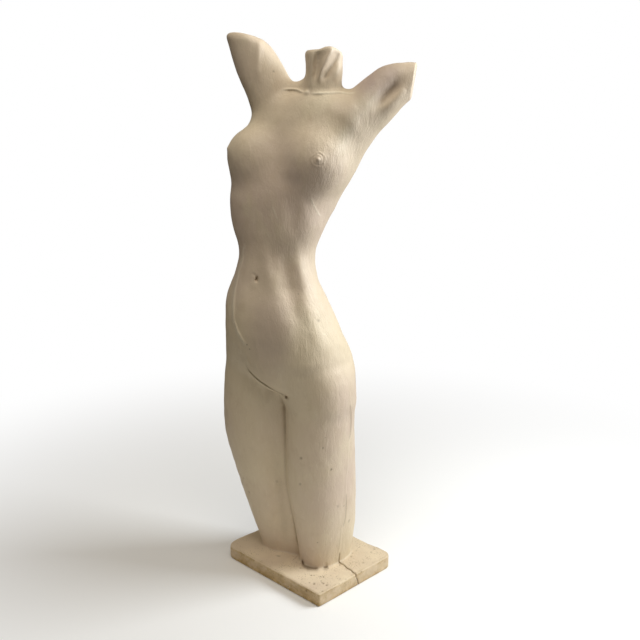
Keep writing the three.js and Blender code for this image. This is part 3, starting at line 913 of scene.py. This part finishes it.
def sharp(depth):
    """How thin the body is within a given depth, from 0 where it is flat to 1 at sharp edges."""
    return np.clip(1 + field(points - normals * depth) / depth, 0, 1)


def along(lines, width):
    """1 on the given curves, fading out sideways."""
    out = np.zeros(len(points), F32)
    for line in lines:
        Line(line, width, 1.0, ends=0.1).add(points, out)
    return np.clip(out, 0, 1)


on_plinth = np.clip(1.2 - np.abs(plinth(points)) / 1.2, 0, 1) * (points[:, 2] < PLINTH_HEIGHT + 6)
clear_of_plinth = np.clip((points[:, 2] - 40) / 30, 0.3, 1)
# Painted shade: the hollow mask below darkens the paint in tight crevices and along the armpit hollow.
ARMPIT = chain((1138, 177, 19), (1128, 169, 18), (1118, 163, 15), (1108, 158, 10), (1098, 154, 2),
               (1087, 151, -6))
closed_in = np.clip(0.7 * tight(4) + 0.6 * tight(11), 0, 1) * clear_of_plinth
attribute(torso, "hollow", np.maximum(closed_in, 0.5 * along([ARMPIT], 9)))
attribute(torso, "worn", np.clip(1.6 * sharp(6), 0, 1))
# Painted highlight: paler paint along the ridge from the waist to the groin, the collar bones, the knob
# between them and a wide band on the chest fold; the scratches are real pale marks.
ridge_highlight_and_scratches = np.maximum(along([PALE_RIDGE, *COLLAR_RIDGES, [COLLAR_KNOB]], 3.4), along(SCRATCHES, 1.6))
attribute(torso, "pale", np.maximum(ridge_highlight_and_scratches, 0.9 * along([CHEST_FOLD], 13)))
# Greyer, pinker paint as painted shade on the lower belly, the front of her left shoulder and below her
# left breast: centre, half height, half width and strength.
PAINTED_SHADE_AREAS = (
    (place(616, 34, -104), 95, 58, 0.9),
    (place(1148, 128, 6), 45, 58, 1.6),
    (place(948, 56, -88), 20, 20, 0.8),
)
painted_shade = np.zeros(len(points), F32)
for centre, height, width, strength in PAINTED_SHADE_AREAS:
    away = (points - centre) / np.array((width, width, height), F32)
    painted_shade = np.maximum(painted_shade, strength * np.exp(-dots(away, away) ** 2))
attribute(torso, "painted_shade", painted_shade)
split = np.maximum(along(FOOT_GAPS, 3.0), 0.8 * along([CRACK, CRACK_DOWN], 1.5))
split = np.maximum(split, 0.5 * along(OPEN_SEAM, 1.3))
attribute(torso, "pit", np.clip(np.maximum(pit / 0.8, split), 0, 1))
brushed = np.clip(normals @ unit((0.95, -0.25, 0.1)) * 1.2 + 0.35 * waves(points, 8, 120, 260, 6), 0, 1)
attribute(torso, "brushed", brushed)
attribute(torso, "base", on_plinth)
downward = 1.15 - 0.5 * np.clip(points[:, 2] / PLINTH_HEIGHT, 0, 1)
upright = np.clip(1.3 - 1.6 * normals[:, 2], 0, 1)
barer_in_front = 0.75 - 0.3 * normals[:, 1]
attribute(torso, "side", on_plinth * downward * upright * barer_in_front)


# ---------- material
class Nodes:
    """Short ways to add linked nodes."""

    def __init__(self, owner):
        owner.use_nodes = True
        self.tree = owner.node_tree
        self.tree.nodes.clear()

    def put(self, socket, value):
        """Links another node's output to a socket, or sets the socket to a plain value."""
        if isinstance(value, bpy.types.NodeSocket):
            self.tree.links.new(value, socket)
        else:
            socket.default_value = value

    def new(self, kind, inputs=None, **settings):
        node = self.tree.nodes.new(kind)
        for key, value in settings.items():
            setattr(node, key, value)
        for key, value in (inputs or {}).items():
            self.put(node.inputs[key], value)
        return node

    def math(self, operation, *values):
        return self.new("ShaderNodeMath", dict(enumerate(values)), operation=operation).outputs[0]

    def times(self, first, second):
        return self.math("MULTIPLY", first, second)

    def stretched(self, vector, scale):
        return self.new("ShaderNodeVectorMath", {0: vector, 1: scale}, operation="MULTIPLY").outputs[0]

    def noise(self, vector, scale, detail=3.0, rough=0.5, warp=0.0):
        inputs = {"Vector": vector, "Scale": scale, "Detail": detail, "Roughness": rough}
        inputs["Distortion"] = warp
        return self.new("ShaderNodeTexNoise", inputs).outputs["Fac"]

    def holes(self, vector, scale, inner, outer):
        """1 in the middle of scattered round cells, and 0 outside them."""
        inputs = {"Vector": vector, "Scale": scale, "Randomness": 1.0}
        distance = self.new("ShaderNodeTexVoronoi", inputs).outputs["Distance"]
        return self.range(distance, inner, outer, 1.0, 0.0)

    def range(self, value, low, high, to_low=0.0, to_high=1.0):
        """A smooth step from one value to another as the input goes from low to high."""
        inputs = {"Value": value, "From Min": low, "From Max": high, "To Min": to_low, "To Max": to_high}
        return self.new("ShaderNodeMapRange", inputs, interpolation_type="SMOOTHSTEP").outputs[0]

    def mix(self, factor, first, second):
        node = self.new("ShaderNodeMix", data_type="RGBA", blend_type="MIX")
        for name, value in (("Factor_Float", factor), ("A_Color", first), ("B_Color", second)):
            self.put(next(s for s in node.inputs if s.identifier == name), value)
        return next(s for s in node.outputs if s.identifier == "Result_Color")


def colour(hex_code):
    """A screen colour as the linear values that a shader takes."""
    parts = [int(hex_code[i : i + 2], 16) / 255 for i in (0, 2, 4)]
    return tuple(c / 12.92 if c <= 0.04045 else ((c + 0.055) / 1.055) ** 2.4 for c in parts) + (1.0,)


def painted_plaster():
    material = bpy.data.materials.new("painted_plaster")
    n = Nodes(material)
    where = n.new("ShaderNodeTexCoord").outputs["Object"]
    hollow, worn, pale, pit, base, side, brushed, painted_shade_share = (
        n.new("ShaderNodeAttribute", attribute_name=name).outputs["Fac"]
        for name in ("hollow", "worn", "pale", "pit", "base", "side", "brushed", "painted_shade")
    )
    # patterns
    broad = n.noise(where, 2.6, 2.0, 0.5)
    patch = n.noise(where, 8.0, 4.0, 0.6, 0.4)
    blotch = n.noise(where, 27.0, 5.0, 0.65, 0.3)
    stroke = n.noise(n.stretched(where, (165.0, 165.0, 52.0)), 1.0, 4.0, 0.6, 0.8)
    sweep = n.noise(n.stretched(where, (46.0, 46.0, 15.0)), 1.0, 3.0, 0.55, 0.6)
    crumb = n.noise(where, 210.0, 4.0, 0.65)
    grain = n.noise(where, 620.0, 3.0, 0.6)
    pores = n.holes(where, 170.0, 0.08, 0.22)
    fine_pores = n.holes(where, 250.0, 0.10, 0.28)
    # the paint on the figure
    paint = n.mix(n.range(broad, 0.36, 0.64), colour("d8c7a9"), colour("cfbaa6"))
    paint = n.mix(n.times(n.range(patch, 0.48, 0.72), 0.5), paint, colour("dfd1b2"))
    paint = n.mix(n.times(n.range(blotch, 0.50, 0.74), 0.28), paint, colour("bfa98c"))
    paint = n.mix(n.times(n.range(sweep, 0.45, 0.75), 0.22), paint, colour("c9b795"))
    paint = n.mix(n.times(n.range(stroke, 0.52, 0.78), 0.22), paint, colour("efe4cc"))
    # painted shade: greyer, pinker paint on the belly, the front of her left shoulder and below her left
    # breast
    painted_shade_share = n.times(painted_shade_share, n.range(patch, 0.30, 0.60, 0.35, 0.65))
    paint = n.mix(painted_shade_share, paint, colour("b7a395"))
    # the plinth: tan on top, ochre where the edges and sides are bare
    top = n.mix(n.range(patch, 0.38, 0.66), colour("cdb99d"), colour("decbab"))
    paint = n.mix(n.times(base, 0.7), paint, top)
    bare = n.math("MULTIPLY_ADD", side, 0.75, n.times(n.times(worn, base), 0.6))
    bare = n.times(bare, n.range(blotch, 0.30, 0.58, 0.45, 1.1))
    ochre = n.mix(n.range(n.noise(where, 60.0, 3.0, 0.6), 0.35, 0.7), colour("a08350"), colour("bda070"))
    paint = n.mix(n.math("MINIMUM", bare, 1.0), paint, ochre)
    # wear, scratches, painted highlights, painted shade in crevices, pits and pinholes
    # painted highlight on the ridges and the chest fold, and the real pale scratches
    highlight_and_scratches = n.times(pale, n.range(crumb, 0.3, 0.7, 0.35, 1.0))
    paint = n.mix(n.times(highlight_and_scratches, 0.5), paint, colour("ece2cb"))
    rubbed = n.times(worn, n.range(crumb, 0.35, 0.65))
    paint = n.mix(n.times(rubbed, 0.3), paint, colour("e6dabd"))
    # painted shade: darker brown in tight crevices and along the armpit hollow
    crevice_shade = n.times(n.range(hollow, 0.12, 0.85), n.range(blotch, 0.3, 0.7, 0.55, 1.0))
    paint = n.mix(n.times(crevice_shade, 0.7), paint, colour("7d6747"))
    specks = n.times(pores, n.range(patch, 0.54, 0.68))
    specks = n.times(specks, n.math("MULTIPLY_ADD", base, 0.4, 0.25))
    crowded = n.times(base, n.range(blotch, 0.42, 0.58))
    specks = n.math("MAXIMUM", specks, n.times(n.times(fine_pores, crowded), 0.9))
    paint = n.mix(specks, paint, colour("7d6542"))
    paint = n.mix(n.times(pit, 0.7), paint, colour("6a5438"))
    # relief
    strength = n.math("MULTIPLY_ADD", brushed, 0.8, 0.35)
    height = n.times(n.times(stroke, 0.75), strength)
    height = n.math("MULTIPLY_ADD", n.times(sweep, strength), 1.0, height)
    height = n.math("MULTIPLY_ADD", crumb, 0.32, height)
    height = n.math("MULTIPLY_ADD", grain, 0.12, height)
    height = n.math("MULTIPLY_ADD", specks, -0.8, height)
    inputs = {"Strength": 0.75, "Distance": 0.0016, "Height": height}
    bump = n.new("ShaderNodeBump", inputs).outputs["Normal"]
    rough = n.math("MULTIPLY_ADD", n.range(crumb, 0.2, 0.8), 0.14, 0.50)
    rough = n.math("MULTIPLY_ADD", n.math("MAXIMUM", base, hollow), 0.22, rough)
    shader = n.new("ShaderNodeBsdfPrincipled", {"Base Color": paint, "Roughness": rough, "Normal": bump})
    n.new("ShaderNodeOutputMaterial", {"Surface": shader.outputs[0]})
    return material


torso.data.materials.append(painted_plaster())
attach(torso, "root")
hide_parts("torso_with_plinth")


# ---------- floor, light and camera
FLOOR_HALF = 30.0


def floor():
    """A matte floor that catches the shadow near the figure and fades to white further out."""
    mesh = bpy.data.meshes.new("floor")
    corners = [(x * FLOOR_HALF, y * FLOOR_HALF, 0) for x, y in ((-1, -1), (1, -1), (1, 1), (-1, 1))]
    mesh.from_pydata(corners, [], [(0, 1, 2, 3)])
    thing = bpy.data.objects.new("floor", mesh)
    bpy.context.scene.collection.objects.link(thing)
    material = bpy.data.materials.new("pale_floor")
    n = Nodes(material)
    spot = n.new("ShaderNodeNewGeometry").outputs["Position"]
    away = n.new("ShaderNodeVectorMath", {0: spot}, operation="LENGTH").outputs["Value"]
    matte = n.new("ShaderNodeBsdfDiffuse", {"Color": (0.9, 0.89, 0.87, 1)}).outputs[0]
    seen = n.new("ShaderNodeLightPath").outputs["Is Camera Ray"]
    glow = n.new("ShaderNodeEmission", {"Color": (1, 1, 1, 1), "Strength": seen}).outputs[0]
    mixed = n.new("ShaderNodeMixShader", {0: n.range(away, 0.35, 1.6), 1: matte, 2: glow}).outputs[0]
    n.new("ShaderNodeOutputMaterial", {"Surface": mixed})
    mesh.materials.append(material)


def area_light(name, where, aim, size, power, tint):
    """A rectangular lamp that shines towards a point."""
    data = bpy.data.lights.new(name, "AREA")
    data.shape = "RECTANGLE"
    data.size, data.size_y = size
    data.energy = power
    data.color = tint
    lamp = bpy.data.objects.new(name, data)
    bpy.context.scene.collection.objects.link(lamp)
    lamp.location = where
    way = Vector(aim) - Vector(where)
    lamp.rotation_mode = "QUATERNION"
    lamp.rotation_quaternion = way.to_track_quat("-Z", "Y")


SKY_TINT = (1.0, 0.93, 0.83, 1)
SKY_STRENGTH = 0.29


def studio_light():
    """Soft warm light from all round, and white where the camera looks past the floor."""
    world = bpy.data.worlds.new("studio")
    bpy.context.scene.world = world
    n = Nodes(world)
    seen = n.new("ShaderNodeLightPath").outputs["Is Camera Ray"]
    soft = n.new("ShaderNodeBackground", {0: SKY_TINT, 1: SKY_STRENGTH}).outputs[0]
    white = n.new("ShaderNodeBackground", {0: (1, 1, 1, 1)}).outputs[0]
    mixed = n.new("ShaderNodeMixShader", {0: seen, 1: soft, 2: white}).outputs[0]
    n.new("ShaderNodeOutputWorld", {0: mixed})


# Degrees, metres, millimetres of film, and the focal length as a share of the frame's width.
CAMERA_AZIMUTH = 45.5
CAMERA_HEADING = 44.7
CAMERA_DISTANCE = 2.022
CAMERA_HEIGHT = 1.18
CAMERA_PITCH = 15.7
SENSOR = 36.0
FOCAL_IN_FRAMES = 925 / 640


def camera():
    data = bpy.data.cameras.new("camera")
    data.sensor_fit = "HORIZONTAL"
    data.sensor_width = SENSOR
    data.lens = SENSOR * FOCAL_IN_FRAMES
    thing = bpy.data.objects.new("camera", data)
    bpy.context.scene.collection.objects.link(thing)
    around = math.radians(CAMERA_AZIMUTH)
    x, y = CAMERA_DISTANCE * math.sin(around), -CAMERA_DISTANCE * math.cos(around)
    thing.location = (x, y, CAMERA_HEIGHT)
    heading = math.radians(CAMERA_HEADING)
    pitch = math.radians(CAMERA_PITCH)
    ahead = (-math.sin(heading) * math.cos(pitch), math.cos(heading) * math.cos(pitch), -math.sin(pitch))
    thing.rotation_mode = "QUATERNION"
    thing.rotation_quaternion = Vector(ahead).to_track_quat("-Z", "Y")
    bpy.context.scene.camera = thing


floor()
studio_light()
# The key comes from the viewer's right, beside the figure, and the fill from high up in front of it.
area_light("key", where=(1.12, 1.08, 1.42), aim=(0, 0, 0.92), size=(1.0, 1.0),
           power=40, tint=(0.94, 1.0, 1.06))
area_light("fill", where=(0.6, -0.65, 2.9), aim=(0, 0, 1.1), size=(1.2, 1.2),
           power=25, tint=(1.0, 0.97, 0.90))
camera()
bpy.context.scene.view_settings.view_transform = "Standard"
